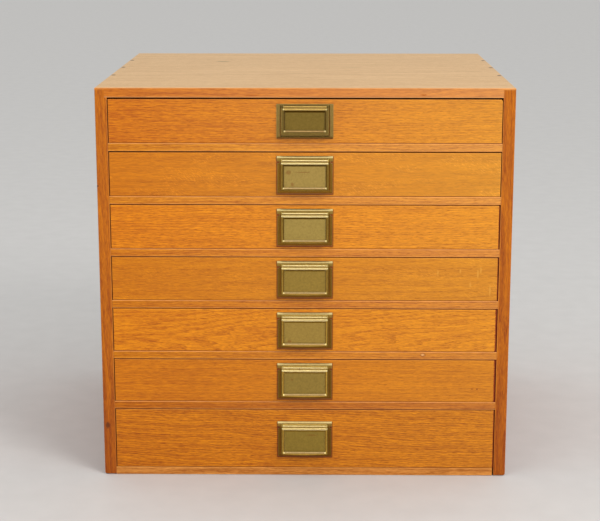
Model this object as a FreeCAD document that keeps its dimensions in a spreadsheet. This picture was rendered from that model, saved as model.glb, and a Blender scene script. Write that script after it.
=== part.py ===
import FreeCAD, Part
import Sketcher
import math
import os
import re

# A seven-drawer oak chest with brass pulls, in millimetres.
# The front faces -Y, +X is to the right of someone who looks at the front, and +Z is up.
# The origin is on the floor, in the middle of the carcase.

# Driving dimensions, one plain number each. They become the cells of the sheet.
SIZES = {
    # carcase
    "chest_width": 480.0,
    "chest_depth": 445.0,
    "side_thickness": 14.0,
    "top_thickness": 11.2,
    "top_lap": 2.0,                 # what lies over the ends of the sides
    "top_tongue": 3.0,              # how far the top is let into the left side
    "bottom_thickness": 9.2,
    "bottom_short": 1.6,            # the bottom board's front edge stops short at the right
    "divider_thickness": 9.2,
    "small_opening": 52.6,          # height of the opening for each of the upper drawers
    "deep_opening": 73.2,           # height of the opening for the bottom drawer
    "housing_depth": 4.0,
    "housing_stop": 8.0,            # the housings end this far behind the front edge
    "back_thickness": 6.0,
    "back_lip": 5.0,                # how far the back panel reaches past the housings in each side
    "back_rise": 5.0,               # how far the back panel is let into the top
    "carcase_arris": 1.4,
    "foot_rounding": 2.5,           # worn lower corners of the sides
    # nails
    "top_nail_side": 2.6,           # cut nails, square in section
    "top_nail_length": 24.0,
    "top_nail_inset": 5.0,          # from the outer face of the side
    "top_nail_middle": 17.0,        # place of the middle nail behind the chest's centre
    "top_nail_pitch": 97.0,
    "back_nail_side": 2.2,
    "back_nail_length": 20.0,
    "back_nail_end": 30.0,          # of the lowest nail above the floor
    "back_nail_pitch": 100.0,
    # drawers
    "drawer_gap": 0.8,              # each side of a drawer
    "top_gap_above": 2.0,           # above the top drawer's front, which has worn the most
    "second_gap_above": 1.4,        # above the second drawer's front
    "front_gap_above": 1.0,         # above each of the others
    "front_gap_below": 0.4,
    "front_thickness": 16.0,
    "drawer_side_thickness": 8.0,
    "drawer_side_drop": 2.4,        # how much lower than the opening the drawer sides are
    "drawer_back_thickness": 8.0,
    "drawer_back_drop": 2.0,        # how much lower than the sides the back is
    "floor_thickness": 4.0,
    "floor_rise": 7.5,              # underside of the drawer's bottom above its running edge
    "floor_groove": 4.0,
    "floor_clearance": 0.4,         # between the bottom's edge and the end of its groove
    "front_arris": 0.8,
    "worn_corner": 2.6,             # the top drawer's front is worn at its upper right corner
    # dovetails
    "tail_length": 12.0,            # the front keeps the rest of its thickness as a lap
    "tail_width": 16.0,             # at the tip
    "tail_flare": 2.0,              # narrower by this much on each side at the shoulder
    "tail_edge": 4.0,               # from the edge of the board to the first tail's tip
    "rear_tail_width": 11.0,
    "rear_tail_flare": 1.3,
    "rear_tail_edge": 4.0,
    # stops
    "stop_width": 24.0,
    "stop_length": 13.7,            # from the back panel towards the drawer
    "stop_height": 15.0,
    "stop_clearance": 0.3,
    # hooded pull
    "pull_width": 64.5,
    "pull_height": 43.5,
    "pull_sheet": 1.0,
    "pull_corner": 0.8,
    "pull_notch_width": 2.2,        # the plate is notched at both edges just below the cornice
    "pull_notch_height": 2.2,
    "pull_hood_width": 57.5,
    "pull_hood_top": 3.0,           # below the plate's top edge, as are the next sizes
    "pull_hood_end": 38.2,          # at the hood's two ends
    "pull_bow": 1.1,                # how much lower its edge is in the middle
    "pull_cheek_rounding": 2.6,
    "pull_lip_bevel": 0.6,
    "pull_reed_one": 4.9,
    "pull_reed_two": 8.0,
    "pull_panel_top": 10.0,
    "pull_panel_end": 34.4,
    "pull_bead": 36.2,
    "pull_panel_width": 47.5,
    "pull_panel_depth": 1.1,
    "pull_reach_top": 2.4,          # how far the hood stands out at its top
    "pull_reach_end": 10.0,         # how far it stands out at its open lower edge
    "pull_wall": 1.8,
    "pull_reed_inset": 2.5,         # the reeds stop this far inside the hood's cheeks
    "pull_reed_radius": 1.4,
    "pull_bead_radius": 0.9,
    "cornice_height": 6.2,
    "cornice_reach": 2.2,
    "cornice_slope": 1.0,
    "cornice_overhang": 0.5,        # beyond the plate at each end
    # the top drawer's pull, a lower one with a wide border and no cornice
    "low_width": 65.0,
    "low_height": 40.0,
    "low_sheet": 1.0,
    "low_corner": 0.8,
    "low_hood_width": 57.0,
    "low_hood_top": 1.2,
    "low_hood_end": 34.9,
    "low_bow": 0.7,
    "low_cheek_rounding": 2.4,
    "low_lip_bevel": 0.6,
    "low_reed_one": 2.8,
    "low_reed_two": 5.8,
    "low_panel_top": 7.4,
    "low_panel_end": 28.8,
    "low_bead": 30.4,
    "low_panel_width": 45.6,
    "low_panel_depth": 1.4,
    "low_reach_top": 2.2,
    "low_reach_end": 9.0,
    "low_wall": 2.2,
    "low_reed_inset": 4.0,
    "low_reed_radius": 1.3,
    "low_bead_radius": 0.9,
    "low_rim": 37.6,                # a bead along the plate's lower border
    "low_rim_radius": 0.8,
}

SMALL_DRAWERS = 6                   # the drawers of one height, above the deep one
DRAWERS = SMALL_DRAWERS + 1
TOP_NAILS_A_SIDE = 3
BACK_NAILS_A_SIDE = 4

ACROSS = FreeCAD.Vector(1, 0, 0)

doc = FreeCAD.newDocument("Chest")
sheet = doc.addObject("Spreadsheet::Sheet", "Sizes")
for row, (alias, number) in enumerate(SIZES.items(), start=1):
    sheet.set(f"A{row}", alias)
    sheet.set(f"B{row}", str(number))
    sheet.setAlias(f"B{row}", alias)
doc.recompute()

pieces = []
cuts = []


# Expressions

def bound(text):
    """Turns the plain names of sizes in a formula into references to the sheet."""
    return re.sub(r"[a-z_]+", lambda word: f"Sizes.{word[0]}" if word[0] in SIZES else word[0], text)


def bind(item, prop, text):
    item.setExpression(prop, bound(text))


def drive(sketch, kind, edge, point, text):
    """Ties one coordinate of a sketch point to a formula, measured from the sketch's origin."""
    number = sketch.addConstraint(Sketcher.Constraint(kind, -1, 1, edge, point, 1.0))
    bind(sketch, f"Constraints[{number}]", text)


# Formulas that several pieces share

CHEST_HEIGHT = ("(bottom_thickness + deep_opening + top_thickness"
                f" + {SMALL_DRAWERS} * (divider_thickness + small_opening))")
SIDE_HEIGHT = f"({CHEST_HEIGHT} - top_lap)"
TOP_UNDERSIDE = f"({CHEST_HEIGHT} - top_thickness)"
FRONT = "(-chest_depth / 2)"
REAR = "(chest_depth / 2)"
BACK_FACE = "(chest_depth / 2 - back_thickness)"
HALF_INSIDE = "(chest_width / 2 - side_thickness)"
HALF_DRAWER = "(chest_width / 2 - side_thickness - drawer_gap)"
BACK_LET_IN = "(housing_depth + back_lip)"
BACK_NAIL_LINE = "(housing_depth + back_lip / 2)"
FLOOR_TOP = "(floor_rise + floor_thickness)"
DRAWER_LENGTH = "(chest_depth - back_thickness - stop_length - stop_clearance)"
REAR_SHOULDER = f"({DRAWER_LENGTH} - drawer_back_thickness)"


def opening_height(drawer):
    return "deep_opening" if drawer == DRAWERS else "small_opening"


def opening_floor(drawer):
    """Height of the board under a drawer, counted from the top drawer, which is 1."""
    if drawer == DRAWERS:
        return "bottom_thickness"
    boards = DRAWERS - drawer
    return (f"(bottom_thickness + deep_opening + {boards} * divider_thickness"
            f" + {boards - 1} * small_opening)")


def side_height(drawer):
    return f"({opening_height(drawer)} - drawer_side_drop)"


def gap_above(drawer):
    return {1: "top_gap_above", 2: "second_gap_above"}.get(drawer, "front_gap_above")


def front_middle(drawer):
    """Height of the middle of a drawer's front."""
    clear = f"({opening_height(drawer)} - {gap_above(drawer)} + front_gap_below)"
    return f"({opening_floor(drawer)} + {clear} / 2)"


# Bodies, sketches and features

def new_body(label):
    body = doc.addObject("PartDesign::Body", label)
    body.Label = label
    pieces.append(body)
    return body


def put(item, x="0", y="0", z="0"):
    bind(item, "Placement.Base.x", x)
    bind(item, "Placement.Base.y", y)
    bind(item, "Placement.Base.z", z)


def new_sketch(body, role, level="0"):
    """A sketch on one of the body's own origin planes, or at a level along that plane's normal."""
    sketch = body.newObject("Sketcher::SketchObject", f"{body.Label}_sketch")
    plane = next(item for item in body.Origin.OriginFeatures if item.Role == role)
    sketch.AttachmentSupport = [(plane, "")]
    sketch.MapMode = "FlatFace"
    bind(sketch, "AttachmentOffset.Base.z", level)
    return sketch


def lean(sketch, height, angle):
    """Leans a sketch about its own line across at a height. The angle is in degrees."""
    sketch.AttachmentOffset = FreeCAD.Placement(FreeCAD.Vector(), FreeCAD.Rotation(ACROSS, 1))
    bind(sketch, "AttachmentOffset.Base.y", height)
    bind(sketch, "AttachmentOffset.Rotation.Angle", angle)


def add_outline(sketch, corners):
    """A closed outline of straight edges whose corners are pairs of formulas."""
    count = len(corners)
    first = sketch.GeometryCount
    ring = []
    for step in range(count):
        turn = 2 * math.pi * step / count
        ring.append(FreeCAD.Vector(math.cos(turn), math.sin(turn), 0))
    for step in range(count):
        sketch.addGeometry(Part.LineSegment(ring[step], ring[(step + 1) % count]), False)
    for step in range(count):
        following = first + (step + 1) % count
        sketch.addConstraint(Sketcher.Constraint("Coincident", first + step, 2, following, 1))
    for step, (across, up) in enumerate(corners):
        drive(sketch, "DistanceX", first + step, 1, across)
        drive(sketch, "DistanceY", first + step, 1, up)


def add_rectangle(sketch, left, right, low, high):
    add_outline(sketch, [(left, low), (right, low), (right, high), (left, high)])


def add_square(sketch, across, up, side):
    half = f"{side} / 2"
    left, right = f"{across} - {half}", f"{across} + {half}"
    low, high = f"{up} - {half}", f"{up} + {half}"
    add_rectangle(sketch, left, right, low, high)


def add_disc(sketch, across, up, radius):
    circle = Part.Circle(FreeCAD.Vector(0, 0, 0), FreeCAD.Vector(0, 0, 1), 1.0)
    edge = sketch.addGeometry(circle, False)
    drive(sketch, "DistanceX", edge, 3, across)
    drive(sketch, "DistanceY", edge, 3, up)
    number = sketch.addConstraint(Sketcher.Constraint("Radius", edge, 1.0))
    bind(sketch, f"Constraints[{number}]", radius)


def extrude(body, kind, sketch, length, symmetric=False, reverse=False):
    before = body.Tip
    feature = body.newObject(kind, f"{body.Label}_{kind.split('::')[1].lower()}")
    feature.Profile = sketch
    bind(feature, "Length", length)
    feature.SideType = "Symmetric" if symmetric else "One side"
    feature.Reversed = reverse
    sketch.Visibility = False
    if kind.endswith("Pocket"):
        cuts.append((feature, before))
    return feature


def pad(body, sketch, length, **options):
    return extrude(body, "PartDesign::Pad", sketch, length, **options)


def pocket(body, sketch, depth, **options):
    return extrude(body, "PartDesign::Pocket", sketch, depth, **options)


def find_edges(body, test):
    """The edges that pass a test of their middle, the direction from end to end and the box."""
    doc.recompute()
    solid = body.Tip
    box = solid.Shape.BoundBox
    names = []
    for number, edge in enumerate(solid.Shape.Edges, start=1):
        if len(edge.Vertexes) != 2:
            continue
        start, end = (vertex.Point for vertex in edge.Vertexes)
        if test((start + end) / 2, (end - start).normalize(), box):
            names.append(f"Edge{number}")
    return solid, names


def round_edges(body, test, radius):
    edges = find_edges(body, test)
    fillet = body.newObject("PartDesign::Fillet", f"{body.Label}_rounding")
    fillet.Base = edges
    bind(fillet, "Radius", radius)


def bevel_edges(body, test, size):
    edges = find_edges(body, test)
    chamfer = body.newObject("PartDesign::Chamfer", f"{body.Label}_bevel")
    chamfer.Base = edges
    bind(chamfer, "Size", size)


def near(value, target):
    return abs(value - target) < 1e-4


def group(label, members):
    """Several loose solids of one kind that share a node."""
    compound = doc.addObject("Part::Compound", label)
    compound.Label = label
    compound.Links = members
    pieces.append(compound)
    return compound


# Carcase

def top_nail_places():
    return [f"(top_nail_middle + {step - TOP_NAILS_A_SIDE // 2} * top_nail_pitch)"
            for step in range(TOP_NAILS_A_SIDE)]


def back_nail_heights():
    return [f"(back_nail_end + {step} * back_nail_pitch)" for step in range(BACK_NAILS_A_SIDE)]


def side_panel(label, hand):
    """hand is -1 for the left panel and 1 for the right one. The inner face looks at the drawers."""
    left = hand < 0
    body = new_body(label)
    outline = new_sketch(body, "YZ_Plane")
    add_rectangle(outline, FRONT, REAR, "0", SIDE_HEIGHT)
    pad(body, outline, "side_thickness")

    def outer_arris(middle, direction, box):
        outside = near(middle.x, box.XMin if left else box.XMax)
        return outside and near(abs(direction.z), 1) and near(middle.y, box.YMin)

    def foot(middle, direction, box):
        outside = near(middle.x, box.XMin if left else box.XMax)
        return outside and near(abs(direction.y), 1) and near(middle.z, box.ZMin)

    round_edges(body, foot, "foot_rounding")
    round_edges(body, outer_arris, "carcase_arris")

    inner_face = "side_thickness" if left else "0"
    housings = new_sketch(body, "YZ_Plane", inner_face)
    stop = f"{FRONT} + housing_stop"
    add_rectangle(housings, stop, REAR, "0", "bottom_thickness")
    for drawer in range(1, DRAWERS):
        level = opening_floor(drawer)
        add_rectangle(housings, stop, REAR, f"{level} - divider_thickness", level)
    pocket(body, housings, "housing_depth", reverse=not left)

    rebate = new_sketch(body, "YZ_Plane", inner_face)
    add_rectangle(rebate, BACK_FACE, REAR, "0", SIDE_HEIGHT)
    pocket(body, rebate, BACK_LET_IN, reverse=not left)

    if left:
        tongue = new_sketch(body, "YZ_Plane", inner_face)
        add_rectangle(tongue, FRONT, REAR, TOP_UNDERSIDE, SIDE_HEIGHT)
        pocket(body, tongue, "top_tongue")

    top_holes = new_sketch(body, "XY_Plane", SIDE_HEIGHT)
    across = "top_nail_inset" if left else "side_thickness - top_nail_inset"
    for place in top_nail_places():
        add_square(top_holes, across, place, "top_nail_side")
    pocket(body, top_holes, "top_nail_length - top_lap")

    back_holes = new_sketch(body, "XZ_Plane", f"-{BACK_FACE}")
    across = f"side_thickness - {BACK_NAIL_LINE}" if left else BACK_NAIL_LINE
    for height in back_nail_heights():
        add_square(back_holes, across, height, "back_nail_side")
    pocket(body, back_holes, "back_nail_length - back_thickness", reverse=True)

    put(body, x="-chest_width / 2" if left else HALF_INSIDE)


def top_board():
    """Rebated at its ends, so that a thin lap covers the ends of the sides."""
    body = new_body("top_board")
    profile = new_sketch(body, "XZ_Plane")
    tongue_end = f"-{HALF_INSIDE} - top_tongue"
    add_outline(profile, [
        ("-chest_width / 2", CHEST_HEIGHT),
        ("-chest_width / 2", SIDE_HEIGHT),
        (tongue_end, SIDE_HEIGHT),
        (tongue_end, TOP_UNDERSIDE),
        (HALF_INSIDE, TOP_UNDERSIDE),
        (HALF_INSIDE, SIDE_HEIGHT),
        ("chest_width / 2", SIDE_HEIGHT),
        ("chest_width / 2", CHEST_HEIGHT),
    ])
    pad(body, profile, "chest_depth", symmetric=True)

    def upper_arris(middle, direction, box):
        return near(middle.z, box.ZMax) and not near(middle.y, box.YMax)

    round_edges(body, upper_arris, "min(carcase_arris; 0.8 * top_lap)")

    rebate = new_sketch(body, "XY_Plane", TOP_UNDERSIDE)
    reach = f"({HALF_INSIDE} + {BACK_LET_IN})"
    add_rectangle(rebate, f"-{reach}", reach, BACK_FACE, REAR)
    pocket(body, rebate, "back_rise", reverse=True)

    holes = new_sketch(body, "XY_Plane", CHEST_HEIGHT)
    for side in ("-", ""):
        for place in top_nail_places():
            add_square(holes, f"{side}(chest_width / 2 - top_nail_inset)", place, "top_nail_side")
    pocket(body, holes, "top_lap")


def carcase_board(label, level, thickness, short="0"):
    """A board across the carcase: its ends sit in the housings, notched round their stopped fronts."""
    body = new_body(label)
    plan = new_sketch(body, "XY_Plane")
    stop = f"{FRONT} + housing_stop"
    end = f"({HALF_INSIDE} + housing_depth)"
    add_outline(plan, [
        (f"-{HALF_INSIDE}", FRONT),
        (f"{HALF_INSIDE} - {short}", FRONT),
        (f"{HALF_INSIDE} - {short}", stop),
        (end, stop),
        (end, BACK_FACE),
        (f"-{end}", BACK_FACE),
        (f"-{end}", stop),
        (f"-{HALF_INSIDE}", stop),
    ])
    pad(body, plan, thickness)
    put(body, z=level)


def back_panel():
    body = new_body("back_panel")
    face = new_sketch(body, "XZ_Plane", f"-{REAR}")
    reach = f"({HALF_INSIDE} + {BACK_LET_IN})"
    add_rectangle(face, f"-{reach}", reach, "0", f"{TOP_UNDERSIDE} + back_rise")
    pad(body, face, "back_thickness")
    holes = new_sketch(body, "XZ_Plane", f"-{REAR}")
    for side in ("-", ""):
        for height in back_nail_heights():
            add_square(holes, f"{side}({HALF_INSIDE} + {BACK_NAIL_LINE})", height, "back_nail_side")
    pocket(body, holes, "back_thickness", reverse=True)


def cut_nails(label, places, side, length, along):
    """Square rods of one kind. along is the axis, Y or Z, in which their length lies."""
    rods = []
    for x, y, z in places:
        rod = doc.addObject("Part::Box", "nail")
        bind(rod, "Length", side)
        bind(rod, "Width", length if along == "Y" else side)
        bind(rod, "Height", length if along == "Z" else side)
        put(rod, x, y, z)
        rods.append(rod)
    group(label, rods)


def top_nails():
    """Driven down through the lap into the sides, and stopped over flush with the top."""
    half = "top_nail_side / 2"
    places = []
    for side in ("-", ""):
        for place in top_nail_places():
            across = f"{side}(chest_width / 2 - top_nail_inset)"
            places.append((f"{across} - {half}", f"{place} - {half}", f"{CHEST_HEIGHT} - top_nail_length"))
    cut_nails("top_nails", places, "top_nail_side", "top_nail_length", "Z")


def back_nails():
    """Driven forwards through the back panel into the rebates of the sides."""
    half = "back_nail_side / 2"
    places = []
    for side in ("-", ""):
        for height in back_nail_heights():
            across = f"{side}({HALF_INSIDE} + {BACK_NAIL_LINE})"
            places.append((f"{across} - {half}", f"{REAR} - back_nail_length", f"{height} - {half}"))
    cut_nails("back_nails", places, "back_nail_side", "back_nail_length", "Y")


def drawer_stops():
    """Two blocks behind each drawer, glued in the corners of its opening, keep its front flush."""
    blocks = []
    for drawer in range(1, DRAWERS + 1):
        for across in (f"-{HALF_INSIDE}", f"{HALF_INSIDE} - stop_width"):
            block = doc.addObject("Part::Box", "stop")
            bind(block, "Length", "stop_width")
            bind(block, "Width", "stop_length")
            bind(block, "Height", "stop_height")
            put(block, across, f"{BACK_FACE} - stop_length", opening_floor(drawer))
            blocks.append(block)
    group("drawer_stops", blocks)


# Drawers. In each piece y is 0 at the front's face and z is 0 at the edge that the drawer runs on.

def place_in_chest(body, drawer, x="0"):
    put(body, x, FRONT, opening_floor(drawer))


def tail_spans(low, high, edge, width, count):
    """The lower and upper tip of each tail, spread evenly between the edges of a board."""
    pitch = f"(({high} - {low} - 2 * {edge} - {width}) / {count - 1})"
    spans = []
    for step in range(count):
        start = f"({low} + {edge} + {step} * {pitch})"
        spans.append((start, f"({start} + {width})"))
    return spans


def front_tails(drawer):
    count = 3 if drawer == DRAWERS else 2
    return tail_spans("0", side_height(drawer), "tail_edge", "tail_width", count)


def rear_tails(drawer):
    count = 3 if drawer == DRAWERS else 2
    high = f"({side_height(drawer)} - drawer_back_drop)"
    return tail_spans(FLOOR_TOP, high, "rear_tail_edge", "rear_tail_width", count)


def tail_outline(shoulder, tip, flare, low, high):
    """A tail from its narrow root at the shoulder to its wide tip, lower edge first."""
    return [
        (shoulder, f"{low} + {flare}"),
        (tip, low),
        (tip, high),
        (shoulder, f"{high} - {flare}"),
    ]


def cut_sockets(body, spans, shoulder, tip, flare):
    """The sockets for the tails, at both ends of a front or a back."""
    for end, leftwards in ((HALF_DRAWER, True), (f"-{HALF_DRAWER}", False)):
        sockets = new_sketch(body, "YZ_Plane", end)
        for low, high in spans:
            add_outline(sockets, tail_outline(shoulder, tip, flare, low, high))
        pocket(body, sockets, "drawer_side_thickness", reverse=not leftwards)


def drawer_front(drawer):
    body = new_body(f"drawer_{drawer}_front")
    face = new_sketch(body, "XZ_Plane")
    upper = f"{opening_height(drawer)} - {gap_above(drawer)}"
    add_rectangle(face, f"-{HALF_DRAWER}", HALF_DRAWER, "front_gap_below", upper)
    pad(body, face, "front_thickness", reverse=True)

    def upper_right_corner(middle, direction, box):
        return near(abs(direction.y), 1) and near(middle.x, box.XMax) and near(middle.z, box.ZMax)

    def face_arris(middle, direction, box):
        return near(middle.y, box.YMin)

    if drawer == 1:
        round_edges(body, upper_right_corner, "worn_corner")
    round_edges(body, face_arris, "front_arris")
    cut_sockets(body, front_tails(drawer), "front_thickness", "front_thickness - tail_length", "tail_flare")
    groove = new_sketch(body, "YZ_Plane")
    add_rectangle(groove, "front_thickness - floor_groove", "front_thickness", "floor_rise", FLOOR_TOP)
    pocket(body, groove, f"2 * ({HALF_DRAWER} - drawer_side_thickness)", symmetric=True)
    place_in_chest(body, drawer)


def drawer_side(drawer, word, left):
    body = new_body(f"drawer_{drawer}_side_{word}")
    height = side_height(drawer)
    outline = [("front_thickness", "0"), (DRAWER_LENGTH, "0"), (DRAWER_LENGTH, FLOOR_TOP),
               (REAR_SHOULDER, FLOOR_TOP)]
    for low, high in rear_tails(drawer):
        outline += tail_outline(REAR_SHOULDER, DRAWER_LENGTH, "rear_tail_flare", low, high)
    outline += [(REAR_SHOULDER, height), ("front_thickness", height)]
    for low, high in reversed(front_tails(drawer)):
        tail = tail_outline("front_thickness", "front_thickness - tail_length", "tail_flare", low, high)
        outline += reversed(tail)
    side = new_sketch(body, "YZ_Plane")
    add_outline(side, outline)
    pad(body, side, "drawer_side_thickness")
    groove = new_sketch(body, "YZ_Plane", "drawer_side_thickness" if left else "0")
    add_rectangle(groove, "front_thickness - tail_length", DRAWER_LENGTH, "floor_rise", FLOOR_TOP)
    pocket(body, groove, "floor_groove", reverse=not left)
    place_in_chest(body, drawer, f"-{HALF_DRAWER}" if left else f"{HALF_DRAWER} - drawer_side_thickness")


def drawer_back(drawer):
    body = new_body(f"drawer_{drawer}_back")
    face = new_sketch(body, "XZ_Plane", f"-{DRAWER_LENGTH}")
    upper = f"{side_height(drawer)} - drawer_back_drop"
    add_rectangle(face, f"-{HALF_DRAWER}", HALF_DRAWER, FLOOR_TOP, upper)
    pad(body, face, "drawer_back_thickness")
    cut_sockets(body, rear_tails(drawer), REAR_SHOULDER, DRAWER_LENGTH, "rear_tail_flare")
    place_in_chest(body, drawer)


def drawer_bottom(drawer):
    body = new_body(f"drawer_{drawer}_bottom")
    plan = new_sketch(body, "XY_Plane", "floor_rise")
    reach = f"({HALF_DRAWER} - drawer_side_thickness + floor_groove - floor_clearance)"
    front_edge = "front_thickness - floor_groove + floor_clearance"
    add_rectangle(plan, f"-{reach}", reach, front_edge, DRAWER_LENGTH)
    pad(body, plan, "floor_thickness")
    place_in_chest(body, drawer)


def pull(drawer, kind, cornice):
    """A brass plate with a hood that leans out to an open, bowed lower edge for the fingers.
    Two reeds and a bead frame a plain panel sunk in the hood. Heights are counted down from the
    plate's top edge, and y is 0 at the drawer's face."""
    body = new_body(f"drawer_{drawer}_pull")
    lip = f"({kind}_hood_end + {kind}_bow)"
    blank = f"({lip} + {kind}_bow)"
    slope = f"(({kind}_reach_end - {kind}_reach_top) / ({kind}_hood_end - {kind}_hood_top))"

    def down(text):
        return f"({kind}_height / 2 - ({text}))"

    def reach(text):
        """How far the hood's face stands out at a height."""
        return f"({kind}_reach_top + (({text}) - {kind}_hood_top) * {slope})"

    hood = new_sketch(body, "YZ_Plane")
    add_outline(hood, [
        ("0", down(f"{kind}_hood_top")),
        (f"-{kind}_reach_top", down(f"{kind}_hood_top")),
        (f"-{reach(blank)}", down(blank)),
        ("0", down(blank)),
    ])
    pad(body, hood, f"{kind}_hood_width", symmetric=True)

    # The blank is cut longer than the hood. A wide ring, drawn on a plane that leans with the
    # hood's face and touches it at the lip, trims the edge to an arc.
    bow_radius = f"(({kind}_hood_width ^ 2 / 4 + {kind}_bow ^ 2) / (2 * {kind}_bow))"
    ring = new_sketch(body, "XZ_Plane", reach(lip))
    lean(ring, down(lip), f"-atan({slope})")
    for radius in (bow_radius, f"{bow_radius} + 4 * {kind}_bow"):
        add_disc(ring, "0", bow_radius, radius)
    pocket(body, ring, f"4 * {reach(blank)}", symmetric=True)

    def cheek_edge(middle, direction, box):
        return near(abs(middle.x), box.XMax) and abs(direction.y) > 0.05 and abs(direction.z) > 0.5

    def lip_edge(middle, direction, box):
        return near(abs(direction.x), 1) and middle.y < 0.75 * box.YMin and middle.z < 0

    round_edges(body, cheek_edge, f"{kind}_cheek_rounding")
    bevel_edges(body, lip_edge, f"{kind}_lip_bevel")

    cavity = new_sketch(body, "YZ_Plane")
    start = f"{kind}_hood_top + ({kind}_sheet + {kind}_wall - {kind}_reach_top) / {slope}"
    below = f"{lip} + {kind}_wall"
    add_outline(cavity, [
        (f"-{kind}_sheet", down(start)),
        (f"-({kind}_reach_end - {kind}_wall)", down(f"{kind}_hood_end")),
        (f"-({kind}_reach_end - {kind}_wall)", down(below)),
        (f"-{kind}_sheet", down(below)),
    ])
    pocket(body, cavity, f"{kind}_hood_width - 2 * {kind}_wall", symmetric=True)

    panel = new_sketch(body, "YZ_Plane")
    upper = f"{kind}_panel_top"
    lower = f"{kind}_panel_end"
    add_outline(panel, [
        (f"-({reach(upper)} + {kind}_panel_depth)", down(upper)),
        (f"-({reach(lower)} + {kind}_panel_depth)", down(lower)),
        (f"-({reach(lower)} - {kind}_panel_depth)", down(lower)),
        (f"-({reach(upper)} - {kind}_panel_depth)", down(upper)),
    ])
    pocket(body, panel, f"{kind}_panel_width", symmetric=True)

    reeds = new_sketch(body, "YZ_Plane")
    for height in (f"{kind}_reed_one", f"{kind}_reed_two"):
        add_disc(reeds, f"-{reach(height)}", down(height), f"{kind}_reed_radius")
    pad(body, reeds, f"{kind}_hood_width - 2 * {kind}_reed_inset", symmetric=True)

    bead = new_sketch(body, "YZ_Plane")
    add_disc(bead, f"-{reach(f'{kind}_bead')}", down(f"{kind}_bead"), f"{kind}_bead_radius")
    pad(body, bead, f"{kind}_panel_width + 2 * {kind}_bead_radius", symmetric=True)

    half_width = f"({kind}_width / 2 - cornice_overhang)" if cornice else f"{kind}_width / 2"
    half_height = f"{kind}_height / 2"
    plate = new_sketch(body, "XZ_Plane")
    add_rectangle(plate, f"-{half_width}", half_width, f"-{half_height}", half_height)
    pad(body, plate, f"{kind}_sheet")

    def plate_corner(middle, direction, box):
        return near(abs(middle.x), box.XMax) and near(abs(direction.y), 1)

    round_edges(body, plate_corner, f"{kind}_corner")

    if cornice:
        notches = new_sketch(body, "XZ_Plane")
        top = f"({half_height} - cornice_height)"
        inner = f"({half_width} - pull_notch_width)"
        for left, right in ((f"-{half_width}", f"-{inner}"), (inner, half_width)):
            add_rectangle(notches, left, right, f"{top} - pull_notch_height", top)
        pocket(body, notches, f"{kind}_sheet", reverse=True)

        moulding = new_sketch(body, "YZ_Plane")
        add_outline(moulding, [
            ("0", half_height),
            ("-(cornice_reach - cornice_slope)", half_height),
            ("-cornice_reach", f"{half_height} - cornice_slope"),
            (f"-{kind}_sheet", f"{half_height} - cornice_height"),
            ("0", f"{half_height} - cornice_height"),
        ])
        pad(body, moulding, f"{kind}_width", symmetric=True)
    else:
        rim = new_sketch(body, "YZ_Plane")
        add_disc(rim, f"-{kind}_sheet", down(f"{kind}_rim"), f"{kind}_rim_radius")
        pad(body, rim, f"{kind}_width", symmetric=True)
    put(body, y=FRONT, z=front_middle(drawer))


side_panel("side_left", -1)
side_panel("side_right", 1)
top_board()
carcase_board("bottom_board", "0", "bottom_thickness", "bottom_short")
for number in range(1, DRAWERS):
    carcase_board(f"divider_{number}", f"{opening_floor(number)} - divider_thickness", "divider_thickness")
back_panel()
top_nails()
back_nails()
drawer_stops()

for number in range(1, DRAWERS + 1):
    drawer_front(number)
    drawer_side(number, "left", True)
    drawer_side(number, "right", False)
    drawer_back(number)
    drawer_bottom(number)
    if number == 1:
        pull(number, "low", cornice=False)
    else:
        pull(number, "pull", cornice=True)

doc.recompute()

# Tests before anything is written

for item in doc.Objects:
    if "Invalid" in item.State or "Error" in item.State:
        raise RuntimeError(f"{item.Label} failed: {item.State}")
for feature, before in cuts:
    if feature.Shape.Volume > before.Shape.Volume - 1e-6:
        raise RuntimeError(f"{feature.Label} in {feature.getParentGeoFeatureGroup().Label} cuts nothing")
for piece in pieces:
    if piece.Shape.isNull() or not piece.Shape.isValid():
        raise RuntimeError(f"{piece.Label} has no valid shape")

os.makedirs("parts", exist_ok=True)
for piece in pieces:
    piece.Shape.exportStep(f"parts/{piece.Label}.step")
print(len(pieces), "pieces written")
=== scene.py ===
# %% [markdown]
# # A seven-drawer oak chest with brass pulls
# The chest's boards, joints and pulls come from its construction model, which this script calls
# the frame. Every piece here is in metres and in the frame's own axes: the front faces -Y, +X is
# to the right of someone who looks at the front, +Z is up, and the floor is at zero.
# What this lesson adds is what the eye needs: oak with its grain, aged brass, cloth in the
# drawers, small pins, a floor, soft light and the camera of the photograph.

import math

import bmesh
import bpy
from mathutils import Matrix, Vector, noise


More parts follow.
